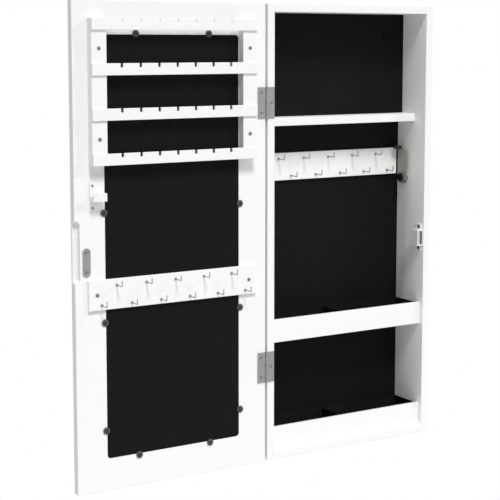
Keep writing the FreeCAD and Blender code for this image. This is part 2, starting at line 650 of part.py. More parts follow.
def tray(name, low, has_floor):
    """A tray: a front board, perhaps a floor, and a black insert with thin walls and a divider."""
    node(f"{name}_front", box(f"{name}_front_board", ("inner_left", "tray_front", low),
                              ("inner_width", "tray_front_thickness", "tray_front_height")))
    floor_thickness = "tray_floor_thickness" if has_floor else "0"
    if has_floor:
        node(f"{name}_floor", box(f"{name}_floor_board", ("inner_left", "tray_inside", low),
                                  ("inner_width", tray_room, "tray_floor_thickness")))
    base = f"{low} + {floor_thickness}"
    height = f"{insert_height} - {floor_thickness}"
    shell = box(f"{name}_insert_block", ("inner_left", "tray_inside", base),
                ("inner_width", tray_room, height))
    hollow = box(f"{name}_insert_hollow",
                 ("inner_left + insert_wall", "tray_inside + insert_wall", f"{base} + insert_wall"),
                 ("inner_width - 2 * insert_wall", f"{tray_room} - 2 * insert_wall", height))
    node(f"{name}_insert", cut(f"{name}_insert_cut", shell, [hollow]))
    node(f"{name}_divider", box(
        f"{name}_divider_board",
        ("-divider_offset - divider_thickness / 2", "tray_inside + insert_wall", f"{base} + insert_wall"),
        ("divider_thickness", f"{tray_room} - 2 * insert_wall", f"{height} - insert_wall")))


tray("middle_tray", "middle_tray", True)
tray("bottom_tray", "floor", False)

# ------------------------------------------------------------------ hook boards and hooks


def hook(name, x, y, z):
    """A square hook: a collar, a stem straight out to the front, a bend and a riser."""
    straight = "hook_reach - hook_bend"
    collar = rod(f"{name}_collar", (x, y, z), "-y", "hook_flange_radius", "hook_flange_thickness")
    stem = rod(f"{name}_stem", (x, y, z), "-y", "hook_wire_radius", straight)
    bend = doc.addObject("Part::Torus", f"{name}_bend")
    # a quarter of a ring whose plane holds the stem and the riser
    bend.Placement = Placement(Vector(), Rotation(Vector(0, -1, 0), Vector(0, 0, -1), Vector(1, 0, 0), "XYZ"))
    bend.Angle3 = 90
    bind(bend, x=x, y=f"{y} - ({straight})", z=f"{z} + hook_bend",
         Radius1="hook_bend", Radius2="hook_wire_radius")
    riser = rod(f"{name}_riser", (x, f"{y} - hook_reach", f"{z} + hook_bend"), "z", "hook_wire_radius",
                "hook_height - hook_bend")
    return fuse(name, [collar, stem, bend, riser])


def hook_rows(name, middle_x, face_y, middle_z):
    """All the hooks of one board: a short row above a long one, half a pitch apart."""
    rows = (("upper", UPPER_HOOKS, f"{middle_z} + upper_hook_rise"),
            ("lower", LOWER_HOOKS, f"{middle_z} - lower_hook_drop"))
    hooks = []
    for row, count, z in rows:
        for k, step in enumerate(spread(count), start=1):
            hooks.append(hook(f"{name}_{row}_{k}", f"{middle_x} + {step} * hook_pitch", face_y, z))
    node(name, group(name + "_group", hooks))


def hook_board(name, middle_x, back_y, middle_z, holes):
    board = box(f"{name}_blank", (f"{middle_x} - hook_board_length / 2", f"{back_y} - hook_board_thickness",
                                  f"{middle_z} - hook_board_height / 2"),
                ("hook_board_length", "hook_board_thickness", "hook_board_height"))
    node(name, cut(f"{name}_cut", board, holes))


hook_board("cabinet_hook_board", "0", "lining_face", cabinet_board_z, cabinet_board_holes)
hook_rows("cabinet_hooks", "0", cabinet_board_face, cabinet_board_z)

door_board_holes = screws_and_holes(
    "door_hook_board_screws",
    [(f"door_middle + {sign} * (hook_board_length / 2 - hook_screw_inset)", "front - hook_board_thickness",
      door_board_z) for sign in (-1, 1)], "y", "door_board_screw")
hook_board("door_hook_board", "door_middle", "front", door_board_z, door_board_holes)
hook_rows("door_hooks", "door_middle", "front - hook_board_thickness", door_board_z)

# ------------------------------------------------------------------ magnetic catch and its plate

catch_x = "inner_right - catch_width"
catch_low = "catch_z - catch_height / 2"
housing = box("catch_block", (catch_x, "catch_y", catch_low), ("catch_width", "catch_depth", "catch_height"))
ears = box("catch_ears", ("inner_right - catch_ear_thickness", "catch_y + catch_ear_setback",
                          f"{catch_low} - catch_ear_height"),
           ("catch_ear_thickness", "catch_depth - catch_ear_setback", "catch_height + 2 * catch_ear_height"))
magnet_room = ("catch_width - 2 * catch_wall", "catch_depth - catch_wall", "catch_height - 2 * catch_wall")
recess = box("catch_recess", (f"{catch_x} + catch_wall", "catch_y", f"{catch_low} + catch_wall"), magnet_room)
node("catch_housing", cut("catch_housing_cut", fuse("catch_housing_blank", [housing, ears]),
                          [recess] + catch_holes))
magnet_x = f"{catch_x} + catch_wall + pole_thickness + fit_clearance"
magnet_width = "catch_width - 2 * (catch_wall + pole_thickness + fit_clearance)"
magnet_height = "catch_height - 2 * (catch_wall + fit_clearance)"
magnet_low = f"{catch_low} + catch_wall + fit_clearance"
node("catch_magnet", box("catch_magnet_block", (magnet_x, "catch_y + catch_wall", magnet_low),
                         (magnet_width, "catch_depth - 2 * catch_wall", magnet_height)))
pole_size = ("pole_thickness", "catch_depth - catch_wall + pole_reach", magnet_height)
node("catch_poles", group("catch_pole_group", [
    box(f"catch_pole_{side}", (x, "catch_y - pole_reach", magnet_low), pole_size)
    for side, x in (("left", f"{magnet_x} - pole_thickness"), ("right", f"{magnet_x} + {magnet_width}"))]))

strike_holes = screws_and_holes(
    "strike_screws",
    [("strike_x", "front - strike_thickness", f"strike_z + {side} * strike_screw_spacing / 2")
     for side in (1, -1)], "y")
strike_straight = "strike_height - strike_width"
strike = [box("strike_middle", ("strike_x - strike_width / 2", "front - strike_thickness",
                                f"strike_z - ({strike_straight}) / 2"),
              ("strike_width", "strike_thickness", strike_straight))]
strike += [rod(f"strike_end_{k}", ("strike_x", "front", f"strike_z + {side} * ({strike_straight}) / 2"), "-y",
               "strike_width / 2", "strike_thickness") for k, side in enumerate((1, -1))]
node("strike_plate", cut("strike_plate_cut", fuse("strike_plate_blank", strike), strike_holes))

# ------------------------------------------------------------------ keeper of the lock, on the door

keeper_screw_x = "keeper_x + keeper_plate_width / 2"
keeper_holes = screws_and_holes(
    "keeper_screws", [(keeper_screw_x, "keeper_face", f"keeper_z + {side} * keeper_screw_spacing / 2")
                      for side in (1, -1)], "y", head_radius="keeper_screw_head_radius")
keeper_plate = box("keeper_plate", ("keeper_x", "keeper_face", "keeper_z - keeper_plate_height / 2"),
                   ("keeper_plate_width", "keeper_plate_thickness", "keeper_plate_height"))
arm_top = "keeper_z + keeper_arm_height / 2"
keeper_arm = box("keeper_arm", ("keeper_x", "front - keeper_arm_reach", "keeper_z - keeper_arm_height / 2"),
                 ("keeper_arm_width", "keeper_arm_reach", "keeper_arm_height"))
keeper_groove = box("keeper_groove", ("keeper_x", "front - keeper_arm_reach + keeper_lip",
                                      f"{arm_top} - keeper_groove_depth"),
                    ("keeper_groove_length", "keeper_groove_width", "keeper_groove_depth"))
node("lock_keeper", cut("lock_keeper_cut", fuse("lock_keeper_blank", [keeper_plate, keeper_arm]),
                        [keeper_groove] + keeper_holes))

# ------------------------------------------------------------------ discs that hold the mirror's backing

mirror_bottom = "bottom + frame_width"
mirror_top = f"{mirror_bottom} + mirror_height"
disc_places = [(f"door_middle + {side} * disc_spread / 2", z)
               for side in (-1, 1) for z in (f"{mirror_top} + disc_offset", f"{mirror_bottom} - disc_offset")]
disc_places += [(x, f"middle - side_disc_drop + {step} * side_disc_pitch")
                for x in ("mirror_left - disc_offset", "mirror_left + mirror_width + disc_offset")
                for step in spread(SIDE_DISCS)]
discs, disc_screws, disc_screw_holes = [], [], []
for k, (x, z) in enumerate(disc_places, start=1):
    disc = rod(f"disc_{k}", (x, "front", z), "-y", "disc_radius", "disc_thickness")
    bore = rod(f"disc_bore_{k}", (x, "front", z), "-y", "screw_shank_radius + seat_clearance",
               "disc_thickness")
    discs.append(cut(f"disc_{k}_cut", disc, [bore]))
    head_y = "front - disc_thickness - pan_head_height"
    head = rod(f"disc_screw_head_{k}", (x, head_y, z), "y", "pan_head_radius", "pan_head_height")
    shank = rod(f"disc_screw_shank_{k}", (x, head_y, z), "y", "screw_shank_radius", "screw_length")
    disc_screws.append(fuse(f"disc_screw_{k}", [head, shank]))
    disc_screw_holes.append(rod(f"disc_screw_hole_{k}", (x, "front", z), "y",
                                "screw_shank_radius + seat_clearance", "screw_length"))
node("retaining_discs", group("disc_group", discs))
node("disc_screws", group("disc_screw_group", disc_screws))

# ------------------------------------------------------------------ notched rack on the door

# The thin bars are glued on the fronts of the two uprights.
rack_screw_places = [(x, "rack_face", f"rack_bottom + rack_screw_low + {k} * rack_screw_spacing")
                     for x in ("rack_left + upright_width / 2", "rack_left + rack_length - upright_width / 2")
                     for k in range(2)]
rack_holes = screws_and_holes("rack_screws", rack_screw_places, "y", "rack_screw_length")
for side, x in (("left", "rack_left"), ("right", "rack_left + rack_length - upright_width")):
    upright = box(f"{side}_upright_blank", (x, "rack_face", "rack_bottom"),
                  ("upright_width", "upright_thickness", "rack_height"))
    node(f"rack_{side}_upright", cut(f"{side}_upright_cut", upright, rack_holes))
for bar in range(RACK_BARS):
    low = f"rack_bottom + {bar} * rack_bar_pitch"
    blank = box(f"rack_bar_{bar + 1}_blank", ("rack_left", "front - rack_stand", low),
                ("rack_length", "rack_bar_thickness", "rack_bar_height"))
    notches = [box(f"notch_{bar + 1}_{k}", (f"door_middle + {step} * notch_pitch - notch_width / 2",
                                           "front - rack_stand", f"{low} + rack_bar_height - notch_depth"),
                   ("notch_width", "rack_bar_thickness", "notch_depth"))
               for k, step in enumerate(spread(NOTCHES), start=1)]
    node(f"rack_bar_{bar + 1}", cut(f"rack_bar_{bar + 1}_cut", blank, notches))

# ------------------------------------------------------------------ the door frame and what it holds

# The frame is drawn on its inner face, from the lower corner of its free edge.
frame = new_body("door_frame_body", x="free_edge", y="front", z="bottom")
frame_sketch = new_sketch(frame, "frame_outline", "XZ_Plane")
outline(frame_sketch, [("0", "0"), ("cabinet_width", "0"), ("cabinet_width", "cabinet_height"),
                       ("0", "cabinet_height")])
pad(frame, frame_sketch, "door_thickness", backwards=True)
seat_sketch = new_sketch(frame, "mirror_seat_outline", "XZ_Plane")
rounded_rectangle(seat_sketch, "frame_width", "frame_width", "mirror_width", "mirror_height",
                  "backing_corner")
pocket(frame, seat_sketch, "mirror_seat", "seat_depth")
sight_sketch = new_sketch(frame, "sight_outline", "XZ_Plane")
outline(sight_sketch, [
    ("frame_width + mirror_lip", "frame_width + mirror_lip"),
    ("cabinet_width - frame_width - mirror_lip", "frame_width + mirror_lip"),
    ("cabinet_width - frame_width - mirror_lip", "cabinet_height - frame_width - mirror_lip"),
    ("frame_width + mirror_lip", "cabinet_height - frame_width - mirror_lip")])
pocket(frame, sight_sketch, "sight_opening")
pull_sketch = new_sketch(frame, "finger_pull_outline", "XZ_Plane")
rounded_rectangle(pull_sketch, "-finger_pull_width", "cabinet_height / 2 - finger_pull_length / 2",
                  "2 * finger_pull_width", "finger_pull_length", "finger_pull_corner")
pocket(frame, pull_sketch, "finger_pull", "finger_pull_depth")
frame_holes = (door_leaf_holes + door_board_holes + strike_holes + keeper_holes + disc_screw_holes
               + rack_holes)
node("door_frame", cut("door_frame_cut", frame, frame_holes))


def seat_board(label, depth, thickness):
    """A board that fits the mirror's seat in the frame: the glass or its backing."""
    body = new_body(f"{label}_body", x="mirror_left", y=f"front + {depth}", z=mirror_bottom)
    sketch = new_sketch(body, f"{label}_outline", "XZ_Plane")
    rounded_rectangle(sketch, "glass_clearance", "glass_clearance", "(mirror_width - 2 * glass_clearance)",
                      "(mirror_height - 2 * glass_clearance)", "(backing_corner - glass_clearance)")
    pad(body, sketch, thickness, backwards=True)
    node(label, body)


seat_board("mirror_backing", "0", "backing_thickness")
seat_board("mirror_glass", "backing_thickness", "mirror_thickness")

# ------------------------------------------------------------------ check and write

doc.recompute()
for thing in doc.Objects:
    if "Invalid" in thing.State or "Error" in thing.State:
        raise RuntimeError(f"{thing.Label} has failed: {thing.State}")
for thing in NODES:
    if thing.Shape.isNull() or not thing.Shape.isValid() or not thing.Shape.Solids:
        raise RuntimeError(f"{thing.Label} has no sound shape")

os.makedirs("parts", exist_ok=True)
for thing in NODES:
    thing.Shape.exportStep(os.path.join("parts", thing.Label + ".step"))
    room = thing.Shape.BoundBox
    print(f"{thing.Label}: {len(thing.Shape.Solids)} solids, {thing.Shape.Volume:.0f} mm3, "
          f"x {room.XMin:.1f} {room.XMax:.1f}, y {room.YMin:.1f} {room.YMax:.1f}, "
          f"z {room.ZMin:.1f} {room.ZMax:.1f}")
print(len(NODES), "nodes")
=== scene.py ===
# %% [markdown]
# # A jewelry mirror cabinet, dressed in Blender
# The construction of this cabinet was made in FreeCAD and comes in as a fixed frame. Here each board and
# fitting gets its finished form: soft edges, a lacquered or flocked skin, turned and bent metal. We first load
# the frame and note the box that it fills, because nothing that we add may grow out of it.

# %% Load the frame
import bpy
import json
import math
from mathutils import Matrix, Vector


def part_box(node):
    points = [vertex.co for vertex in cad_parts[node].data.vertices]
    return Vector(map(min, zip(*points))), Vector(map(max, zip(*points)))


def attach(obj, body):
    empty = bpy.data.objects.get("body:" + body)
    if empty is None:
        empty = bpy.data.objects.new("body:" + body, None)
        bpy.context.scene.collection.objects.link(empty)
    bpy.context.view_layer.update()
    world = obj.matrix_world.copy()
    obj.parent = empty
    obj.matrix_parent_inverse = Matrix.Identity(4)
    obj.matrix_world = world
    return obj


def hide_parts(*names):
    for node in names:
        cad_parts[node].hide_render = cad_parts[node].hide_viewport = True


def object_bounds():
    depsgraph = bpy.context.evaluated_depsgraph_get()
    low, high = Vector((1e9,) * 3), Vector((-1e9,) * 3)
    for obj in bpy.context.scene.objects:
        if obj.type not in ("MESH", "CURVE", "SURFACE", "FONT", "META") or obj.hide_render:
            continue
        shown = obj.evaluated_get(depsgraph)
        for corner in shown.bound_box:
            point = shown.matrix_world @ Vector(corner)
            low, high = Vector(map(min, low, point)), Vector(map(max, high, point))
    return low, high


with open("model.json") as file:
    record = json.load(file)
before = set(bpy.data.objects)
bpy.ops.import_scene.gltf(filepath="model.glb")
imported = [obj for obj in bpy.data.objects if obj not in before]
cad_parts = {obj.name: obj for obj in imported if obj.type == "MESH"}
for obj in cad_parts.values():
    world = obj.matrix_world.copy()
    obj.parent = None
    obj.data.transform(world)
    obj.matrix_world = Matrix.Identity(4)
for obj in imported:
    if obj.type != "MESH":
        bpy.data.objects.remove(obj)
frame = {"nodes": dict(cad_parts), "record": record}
cad_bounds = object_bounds()
MM = 0.001
slot_of = {part["node"]: part["material_slot"] for part in frame["record"]["subparts"]}
body_of = {node: body for body, nodes in frame["record"]["behaviour"]["bodies"].items() for node in nodes}
print("nodes:", len(slot_of), "bodies:", sorted(set(body_of.values())))

# %% [markdown]
# ## Camera
# The camera stands to the left of the cabinet, about two metres away, with a long lens. A slight downward tilt
# and a small lens shift put the cabinet into the frame as in the photograph and keep its upright edges almost
# parallel.

# %% Camera
CAMERA_PLACE = Vector((-1.173, -1.7065, -0.0159))
CAMERA_YAW, CAMERA_PITCH = math.radians(31.303), math.radians(6.46)
CAMERA_LENS, CAMERA_SHIFT = 96.54, -0.108
camera = bpy.data.objects.new("camera", bpy.data.cameras.new("camera"))
bpy.context.scene.collection.objects.link(camera)
bpy.context.scene.camera = camera
looking = Vector((math.sin(CAMERA_YAW) * math.cos(CAMERA_PITCH),
                  math.cos(CAMERA_YAW) * math.cos(CAMERA_PITCH), -math.sin(CAMERA_PITCH)))
camera.location = CAMERA_PLACE
camera.rotation_euler = looking.to_track_quat("-Z", "Y").to_euler()
camera.data.lens = CAMERA_LENS
camera.data.shift_y = CAMERA_SHIFT
print("camera looks along", [round(part, 3) for part in looking])

# %% [markdown]
# ## Lamps
# A studio picture of a white cabinet needs even light, or the white turns grey. A pale world and a broad lamp
# from high in front share that work, and the lamp draws the short soft shadows straight down from hooks and
# rack. A weaker lamp from the right draws the faint slanting ones.

# %% Lamps
def lamp(name, towards_lamp, strength, spread_deg):
    """A distant lamp: the direction from the cabinet to it, its strength and how soft its shadows are."""
    light = bpy.data.lights.new(name, "SUN")
    light.energy, light.angle = strength, math.radians(spread_deg)
    holder = bpy.data.objects.new(name, light)
    holder.rotation_euler = Vector(towards_lamp).to_track_quat("Z", "Y").to_euler()
    bpy.context.scene.collection.objects.link(holder)
    return holder


for holder in (lamp("high_front_lamp", (-0.07, -0.565, 0.822), 2.6, 15),
               lamp("right_lamp", (0.722, -0.479, 0.50), 0.6, 5)):
    print(holder.name, "has strength", round(holder.data.energy, 2))

# %% [markdown]
# ## World
# The world is brightest at the horizon and dims overhead, where the broad lamp takes over. To the camera, in
# mirrors and through glass it is simply white, and that brightness lights no board.

# %% World
AMBIENT_LEVEL, AMBIENT_OVERHEAD = 0.52, 0.16
world = bpy.context.scene.world or bpy.data.worlds.new("studio")
bpy.context.scene.world = world
world.use_nodes = True
sky = world.node_tree
sky.nodes.clear()


def sky_node(kind, **settings):
    node = sky.nodes.new("ShaderNode" + kind)
    for name, value in settings.items():
        setattr(node, name, value)
    return node


direction = sky_node("TexCoord")
height = sky_node("SeparateXYZ")
dimming = sky_node("MapRange")
dimming.inputs["To Min"].default_value = AMBIENT_LEVEL
dimming.inputs["To Max"].default_value = AMBIENT_OVERHEAD
rays = sky_node("LightPath")
camera_or_glossy = sky_node("Math", operation="MAXIMUM")
or_transmission = sky_node("Math", operation="MAXIMUM")
strength = sky_node("Mix", data_type="FLOAT")
strength.inputs["B"].default_value = 1.0
background = sky_node("Background")
background.inputs["Color"].default_value = (1, 1, 1, 1)
sky_out = sky_node("OutputWorld")
for output, socket in ((direction.outputs["Generated"], height.inputs["Vector"]),
                       (height.outputs["Z"], dimming.inputs["Value"]),
                       (rays.outputs["Is Camera Ray"], camera_or_glossy.inputs[0]),
                       (rays.outputs["Is Glossy Ray"], camera_or_glossy.inputs[1]),
                       (camera_or_glossy.outputs[0], or_transmission.inputs[0]),
                       (rays.outputs["Is Transmission Ray"], or_transmission.inputs[1]),
                       (or_transmission.outputs[0], strength.inputs["Factor"]),
                       (dimming.outputs["Result"], strength.inputs["A"]),
                       (strength.outputs["Result"], background.inputs["Strength"]),
                       (background.outputs[0], sky_out.inputs["Surface"])):
    sky.links.new(output, socket)
bpy.context.scene.view_settings.view_transform = "Standard"
print("world nodes:", len(sky.nodes))

# %% [markdown]
# ## Floor
# A round pale floor lies more than a metre below the cabinet. From the photograph's side it is out of sight,
# and it sends a little light back up.

# %% Floor
FLOOR_BELOW, FLOOR_RADIUS, FLOOR_MIDDLE_X = 1.1, 2.4, -0.15
bpy.ops.object.select_all(action="DESELECT")
bpy.ops.mesh.primitive_circle_add(vertices=96, radius=FLOOR_RADIUS, fill_type="NGON",
                                  location=(FLOOR_MIDDLE_X, 0, cad_bounds[0].z - FLOOR_BELOW))
floor = bpy.context.object
floor.name = "floor"
bpy.ops.object.transform_apply(location=True, rotation=True, scale=True)
floor_paint = bpy.data.materials.new("pale_floor")
floor_paint.use_nodes = True
floor_shader = floor_paint.node_tree.nodes["Principled BSDF"]
floor_shader.inputs["Base Color"].default_value = (0.9, 0.9, 0.9, 1)
floor_shader.inputs["Roughness"].default_value = 0.8
floor.data.materials.append(floor_paint)
print("floor at z =", round(cad_bounds[0].z - FLOOR_BELOW, 3))

# %% [markdown]
# ## Effects that several finishes share
# A finish is never one flat colour. Lacquer has a fine orange peel and dries a shade darker here and there,
# rolled steel carries fine lines along its length, and a moulded or flocked skin is all tiny bumps. Each such
# effect is a node group, built once, and every finish places it with its own numbers.

# %% Helpers for node groups
# Noise rarely leaves this span, so it is stretched from here to the whole range.
NOISE_LOW, NOISE_HIGH = 0.3, 0.7


def effect_group(name, inputs, outputs):
    """A shader node group with named inputs (name, value) and outputs (name, kind)."""
    group = bpy.data.node_groups.new(name, "ShaderNodeTree")
    for label, value in inputs:
        kind = "NodeSocketColor" if isinstance(value, tuple) else "NodeSocketFloat"
        socket = group.interface.new_socket(name=label, in_out="INPUT", socket_type=kind)
        socket.default_value = value
    for label, kind in outputs:
        group.interface.new_socket(name=label, in_out="OUTPUT", socket_type=kind)
    return group, group.nodes.new("NodeGroupInput"), group.nodes.new("NodeGroupOutput")


def noise_in(group, source, scale_socket, stretch=(1, 1, 1), detail=4.0):
    """Noise on the object's own coordinates, stretched where a grain runs along a piece."""
    place = group.nodes.new("ShaderNodeTexCoord")
    mapping = group.nodes.new("ShaderNodeMapping")
    mapping.inputs["Scale"].default_value = stretch
    noise = group.nodes.new("ShaderNodeTexNoise")
    noise.inputs["Detail"].default_value = detail
    group.links.new(place.outputs["Object"], mapping.inputs["Vector"])
    group.links.new(mapping.outputs["Vector"], noise.inputs["Vector"])
    group.links.new(source.outputs[scale_socket], noise.inputs["Scale"])
    return noise


def ranged(group, value, low, high):
    """Turns a noise value into one between two inputs of the group."""
    spread = group.nodes.new("ShaderNodeMapRange")
    spread.inputs["From Min"].default_value = NOISE_LOW
    spread.inputs["From Max"].default_value = NOISE_HIGH
    group.links.new(value, spread.inputs["Value"])
    group.links.new(low, spread.inputs["To Min"])
    group.links.new(high, spread.inputs["To Max"])
    return spread.outputs["Result"]


print("noise is used from", NOISE_LOW, "to", NOISE_HIGH)

# %% [markdown]
# ### Uneven colour and gloss
# Wide patches of noise mix the colour with its darker shade, and finer smears move the roughness between a
# smooth and a rough value. One group does both, since they go together on a real skin.

# %% Uneven colour and gloss
uneven, source, sink = effect_group(
    "uneven_surface",
    (("Color", (0.9, 0.9, 0.9, 1)), ("Shade", (0.85, 0.85, 0.85, 1)), ("Patch Scale", 9.0),
     ("Smooth", 0.3), ("Rough", 0.45), ("Smear Scale", 40.0)),
    (("Color", "NodeSocketColor"), ("Roughness", "NodeSocketFloat")))
patches = noise_in(uneven, source, "Patch Scale")
blend = uneven.nodes.new("ShaderNodeMix")
blend.data_type = "RGBA"
uneven.links.new(patches.outputs["Fac"], blend.inputs["Factor"])
uneven.links.new(source.outputs["Color"], blend.inputs["A"])
uneven.links.new(source.outputs["Shade"], blend.inputs["B"])
uneven.links.new(blend.outputs["Result"], sink.inputs["Color"])
smears = noise_in(uneven, source, "Smear Scale", detail=6.0)
uneven.links.new(ranged(uneven, smears.outputs["Fac"], source.outputs["Smooth"], source.outputs["Rough"]),
                 sink.inputs["Roughness"])
print("built", uneven.name)

# %% [markdown]
# ### Fine relief
# The same noise gives a height. Left even it is orange peel, a moulded skin or flock. Drawn out along Z it
# turns into the long upright lines of rolled metal and of wood grain.

# %% Fine relief, even or drawn out along Z
def relief_group(name, stretch, detail):
    group, source, sink = effect_group(name, (("Scale", 900.0),), (("Height", "NodeSocketFloat"),))
    noise = noise_in(group, source, "Scale", stretch, detail)
    group.links.new(noise.outputs["Fac"], sink.inputs["Height"])
    return group


fine_relief = relief_group("fine_relief", (1, 1, 1), 3.0)
drawn_relief = relief_group("drawn_relief", (1, 1, 0.04), 2.0)
print("built", fine_relief.name, "and", drawn_relief.name)

# %% [markdown]
# ## Finishes
# One function makes every finish: it mixes a colour with its darker shade, gives it an uneven gloss, and adds
# a relief through a Bump node. What is the same all over, such as metalness, is set on the shader itself.

# %% A finish
def finish(name, color, shade, gloss, relief=None, relief_scale=900.0, depth=0.02, patch_scale=9.0,
           **constants):
    """A material from a colour, its darker shade, the span of its roughness and a relief in millimetres."""
    paint = bpy.data.materials.new(name)
    paint.use_nodes = True
    tree = paint.node_tree
    shader = tree.nodes["Principled BSDF"]
    skin = tree.nodes.new("ShaderNodeGroup")
    skin.node_tree = uneven
    skin.inputs["Color"].default_value = (*color, 1)
    skin.inputs["Shade"].default_value = (*shade, 1)
    skin.inputs["Patch Scale"].default_value = patch_scale
    skin.inputs["Smooth"].default_value, skin.inputs["Rough"].default_value = gloss
    tree.links.new(skin.outputs["Color"], shader.inputs["Base Color"])
    tree.links.new(skin.outputs["Roughness"], shader.inputs["Roughness"])
    if relief:
        bumps = tree.nodes.new("ShaderNodeGroup")
        bumps.node_tree = relief
        bumps.inputs["Scale"].default_value = relief_scale
        bump = tree.nodes.new("ShaderNodeBump")
        bump.inputs["Strength"].default_value = 1.0
        bump.inputs["Distance"].default_value = depth * MM
        tree.links.new(bumps.outputs["Height"], bump.inputs["Height"])
        tree.links.new(bump.outputs["Normal"], shader.inputs["Normal"])
    for socket, value in constants.items():
        shader.inputs[socket.replace("_", " ")].default_value = value
    return paint


def grey(level):
    return level, level, level


print("a finish is made of", uneven.name, "and a relief")

# %% [markdown]
# ### The list of finishes
# Every slot of the construction gets one. The white lacquer is a little less than white, so that light doesn't
# clip on it. The black boards are dull and reflect very little, or they would look grey beside the white.

# %% The finishes by slot
finishes = {
    "white_board": finish("white_lacquer", (0.88, 0.88, 0.875), (0.86, 0.86, 0.853), (0.38, 0.5),
                          fine_relief, 700, 0.012),
    "black_board": finish("black_fibre_board", grey(0.0058), grey(0.0048), (0.6, 0.75),
                          fine_relief, 1500, 0.02, 25, Specular_IOR_Level=0.08),
    "flocked_lining": finish("black_flock", (0.009, 0.009, 0.0095), (0.005, 0.005, 0.0055), (0.85, 0.95),
                             fine_relief, 4000, 0.08, 300, Specular_IOR_Level=0.1),
    "zinc_steel": finish("zinc_plate", grey(0.35), grey(0.29), (0.38, 0.5),
                         drawn_relief, 2500, 0.004, 120, Metallic=1.0),
    "dark_screws": finish("blackened_screw", grey(0.05), grey(0.035), (0.4, 0.5),
                          fine_relief, 3000, 0.004, 400, Metallic=0.6),
    "screw_steel": finish("screw_zinc", grey(0.30), grey(0.22), (0.3, 0.45),
                          fine_relief, 3000, 0.004, 400, Metallic=1.0),
    "nickel_plate": finish("nickel", grey(0.42), grey(0.36), (0.16, 0.26),
                           fine_relief, 2500, 0.002, 200, Metallic=1.0),
    "cam_steel": finish("olive_passivated_steel", (0.31, 0.325, 0.285), (0.26, 0.272, 0.24), (0.4, 0.5),
                        drawn_relief, 2500, 0.006, 150, Metallic=0.6),
    "black_plastic": finish("black_moulding", grey(0.012), grey(0.008), (0.45, 0.55),
                            fine_relief, 2500, 0.02, 200),
    "grey_plastic": finish("grey_moulding", grey(0.07), grey(0.055), (0.4, 0.5),
                           fine_relief, 2500, 0.015, 200),
    "white_plastic": finish("white_moulding", (0.87, 0.87, 0.865), (0.84, 0.84, 0.835), (0.28, 0.36),
                            fine_relief, 2000, 0.008, 60),
    "magnet": finish("ferrite", (0.03, 0.03, 0.032), grey(0.02), (0.55, 0.7),
                     fine_relief, 3000, 0.03, 500),
    "pole_steel": finish("plain_steel", (0.7, 0.695, 0.69), (0.62, 0.615, 0.61), (0.35, 0.45),
                         drawn_relief, 3000, 0.004, 200, Metallic=0.25),
    "mirror": finish("silvered_glass", (0.93, 0.94, 0.935), (0.91, 0.925, 0.92), (0.01, 0.025),
                     Metallic=1.0),
    "beech": finish("raw_beech", (0.55, 0.36, 0.2), (0.43, 0.26, 0.13), (0.6, 0.75),
                    drawn_relief, 1800, 0.03, 60),
}
for node, thing in frame["nodes"].items():
    thing.data.materials.clear()
    thing.data.materials.append(finishes[slot_of[node]])
print("finishes:", ", ".join(sorted(finishes)))

# %% [markdown]
# ## Working on one piece at a time
# An operator in Blender acts on everything that is selected, so each helper first makes its piece the only
# selected one. A new primitive has its place, turn and size put into its mesh at once, so that every piece
# stays at the origin, as the frame's own nodes do.

# %% Blocks and round bars
def alone(piece):
    bpy.ops.object.select_all(action="DESELECT")
    piece.select_set(True)
    bpy.context.view_layer.objects.active = piece


def settle(name):
    """Names a new primitive and puts its place, turn and size into its mesh."""
    piece = bpy.context.object
    piece.name = piece.data.name = name
    bpy.ops.object.transform_apply(location=True, rotation=True, scale=True)
    return piece


def block(name, low, high):
    """A block between two corners."""
    low, high = Vector(low), Vector(high)
    bpy.ops.object.select_all(action="DESELECT")
    bpy.ops.mesh.primitive_cube_add(size=1, location=(low + high) / 2, scale=high - low)
    return settle(name)


def round_bar(name, start, end, radius, sides=48):
    """A round bar between two points on a line along X, Y or Z."""
    start, end = Vector(start), Vector(end)
    bpy.ops.object.select_all(action="DESELECT")
    bpy.ops.mesh.primitive_cylinder_add(vertices=sides, radius=radius, depth=(end - start).length,
                                        location=(start + end) / 2,
                                        rotation=(end - start).to_track_quat("Z", "Y").to_euler())
    return settle(name)


print("blocks and round bars can be made")

# %% [markdown]
# ## Cutting and rounding
# A hole is another shape that is cut out of the piece. Edges are rounded by a bevel of every edge that is
# sharper than some angle, and weighted normals then keep the wide faces flat to the eye, so that only the
# rounding catches the light.

# %% Helpers that cut and round
ROUNDED_FROM, SMOOTH_UNDER = 32, 40


def apply_all(piece):
    alone(piece)
    for modifier in list(piece.modifiers):
        bpy.ops.object.modifier_apply(modifier=modifier.name)


def cut_out(piece, *tools):
    """Cuts other pieces' shapes out of a piece and removes them."""
    for tool in tools:
        cut = piece.modifiers.new("cut", "BOOLEAN")
        cut.operation, cut.solver, cut.object = "DIFFERENCE", "EXACT", tool
        apply_all(piece)
        bpy.data.objects.remove(tool)
    return piece


def flatten_shading(piece, angle=SMOOTH_UNDER):
    alone(piece)
    bpy.ops.object.shade_smooth_by_angle(angle=math.radians(angle))
    weights = piece.modifiers.new("flat faces stay flat", "WEIGHTED_NORMAL")
    weights.keep_sharp = True
    apply_all(piece)
    return piece


def soften(piece, width, segments=3):
    """Rounds every sharp edge, and keeps the flat faces flat to the eye."""
    rounding = piece.modifiers.new("rounded edges", "BEVEL")
    rounding.width, rounding.segments = width, segments
    rounding.limit_method, rounding.angle_limit = "ANGLE", math.radians(ROUNDED_FROM)
    apply_all(piece)
    return flatten_shading(piece)


print("edges sharper than", ROUNDED_FROM, "degrees are rounded")

# %% [markdown]
# ## Taking over from the frame
# A finished piece takes over from one of the frame's nodes: it rides on the same body, takes the same slot's
# finish, and the node is hidden.

